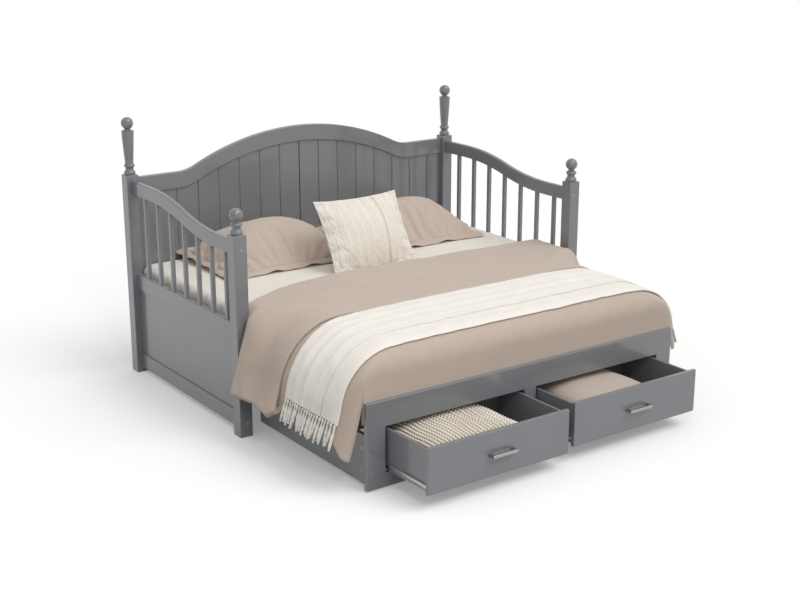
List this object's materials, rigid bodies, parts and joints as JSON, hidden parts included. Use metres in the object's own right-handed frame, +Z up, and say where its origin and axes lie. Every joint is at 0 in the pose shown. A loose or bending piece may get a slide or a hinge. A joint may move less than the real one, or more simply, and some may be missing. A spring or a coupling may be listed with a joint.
{
  "type": "daybed with trundle",
  "caption": "Grey painted wooden daybed with turned finials, spindle arms and a curved grooved back; a wheeled trundle with drawers pulls out of it, and mattresses and bedding lie across both.",
  "frame": {"origin": "on the floor, midway along the bed, in the plane of the front posts' front faces, which is the middle of the part's footprint with the trundle and left drawer out as at rest", "axes": "+X to the right along the bed, +Y from the front to the back, +Z up"},
  "size_m": [2.1188, 2.304, 1.3191],
  "materials": {
    "grey_paint": "satin grey paint on wood and board",
    "pine": "planed softwood",
    "brass_bolts": "yellow zinc plated",
    "zinc_steel": "bright zinc",
    "satin_nickel": "satin nickel",
    "wheel_plastic": "moulded nylon",
    "cream_sheet": "cotton sheet on a foam mattress",
    "taupe_cotton": "plain cotton",
    "cream_throw": "soft woven blanket with fringe",
    "cream_cable_knit": "cable knit",
    "cream_rib_knit": "chunky rib knit"
  },
  "bodies": {
    "daybed": {"back_post_left": "grey_paint", "back_post_right": "grey_paint", "front_post_left": "grey_paint", "front_post_right": "grey_paint", "back_finials": "grey_paint", "front_finials": "grey_paint", "back_top_rail": "grey_paint", "back_lower_rail": "grey_paint", "back_panel_left": "grey_paint", "back_panel_right": "grey_paint", "back_panel_batten": "pine", "arm_top_rails": "grey_paint", "arm_middle_rails": "grey_paint", "arm_bottom_rails": "grey_paint", "arm_panels": "grey_paint", "left_arm_spindles": "grey_paint", "right_arm_spindles": "grey_paint", "back_slat_bearer": "pine", "front_slat_bearer": "pine", "daybed_slats": "pine", "frame_bolts": "brass_bolts", "daybed_mattress": "cream_sheet", "left_pillow": "taupe_cotton", "right_pillow": "taupe_cotton", "knit_cushion": "cream_cable_knit", "duvet": "taupe_cotton", "throw": "cream_throw"},
    "trundle": {"trundle_top_rail": "grey_paint", "trundle_bottom_rail": "grey_paint", "trundle_outer_stiles": "grey_paint", "trundle_centre_stile": "grey_paint", "trundle_side_left": "grey_paint", "trundle_side_right": "grey_paint", "trundle_slat_ledger": "pine", "trundle_rear_rail": "grey_paint", "trundle_mid_rail": "grey_paint", "runner_carriers": "grey_paint", "cabinet_runners": "zinc_steel", "trundle_slats": "pine", "castor_brackets": "zinc_steel", "trundle_bolts": "brass_bolts", "trundle_barrel_nuts": "brass_bolts", "trundle_mattress": "cream_sheet", "duvet_drops": "taupe_cotton", "throw_drops": "cream_throw"},
    "front_wheels": {"front_wheels": "wheel_plastic"},
    "rear_wheels": {"rear_wheels": "wheel_plastic"},
    "left_drawer": {"left_drawer_front": "grey_paint", "left_drawer_walls": "grey_paint", "left_drawer_floor": "grey_paint", "left_drawer_pull": "satin_nickel", "left_drawer_runners": "zinc_steel", "left_drawer_blanket": "cream_rib_knit"},
    "right_drawer": {"right_drawer_front": "grey_paint", "right_drawer_walls": "grey_paint", "right_drawer_floor": "grey_paint", "right_drawer_pull": "satin_nickel", "right_drawer_runners": "zinc_steel", "right_drawer_blanket": "taupe_cotton"}
  },
  "joints": [
    {"name": "trundle_slide", "type": "slide", "parent": "daybed", "child": "trundle", "axis": [0, 1, 0], "range_m": [0, 0.823], "deforming": ["trundle_mattress", "duvet", "throw", "duvet_drops", "throw_drops"]},
    {"name": "left_drawer_slide", "type": "slide", "parent": "trundle", "child": "left_drawer", "axis": [0, 1, 0], "range_m": [-0.025, 0.295]},
    {"name": "right_drawer_slide", "type": "slide", "parent": "trundle", "child": "right_drawer", "axis": [0, 1, 0], "range_m": [-0.065, 0.255]},
    {"name": "front_wheel_roll", "type": "hinge", "parent": "trundle", "child": "front_wheels", "pos_m": [0, -0.713, 0.025], "axis": [1, 0, 0], "continuous": true},
    {"name": "rear_wheel_roll", "type": "hinge", "parent": "trundle", "child": "rear_wheels", "pos_m": [0, 0.0165, 0.025], "axis": [1, 0, 0], "continuous": true}
  ],
  "couplings": [
    {"joint": "front_wheel_roll", "follows": "trundle_slide", "rad_per_m": -40},
    {"joint": "rear_wheel_roll", "follows": "trundle_slide", "rad_per_m": -40}
  ]
}
